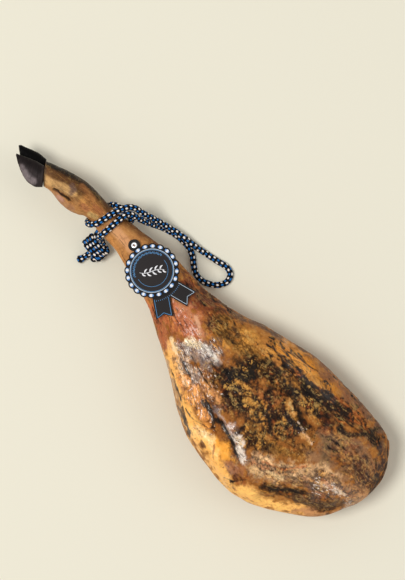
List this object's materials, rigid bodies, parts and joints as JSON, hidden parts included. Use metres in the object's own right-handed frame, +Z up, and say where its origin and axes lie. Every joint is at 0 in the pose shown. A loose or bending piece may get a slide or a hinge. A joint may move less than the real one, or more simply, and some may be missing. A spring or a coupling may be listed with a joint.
{
  "type": "whole cured ham",
  "caption": "Whole cured ham on the bone with its hoof, a doubled rope hitched round the shank and a die-cut card tag.",
  "frame": {"origin": "on the surface that the ham lies on, under the middle of the box of the ham, its claws and its tag", "axes": "+X along the ham from the hoof to the butt, +Z up through the shown face, +Y across it"},
  "size_m": [0.792, 0.2524, 0.1364],
  "materials": {
    "rind": "oily cured fat and rind, golden brown with dark mould and a wet gloss",
    "horn": "worn dark horn, satin",
    "rope": "round braid, black with white and blue flecks",
    "card": "matt black card with a printed white and blue border",
    "eyelet": "polished"
  },
  "bodies": {
    "root": {"ham": "rind", "claw_near": "horn", "claw_far": "horn", "rope_loop": "rope", "rope_upper": "rope", "rope_lower": "rope", "rope_knot": "rope", "tag_card": "card", "tag_eyelet": "eyelet"}
  },
  "joints": []
}
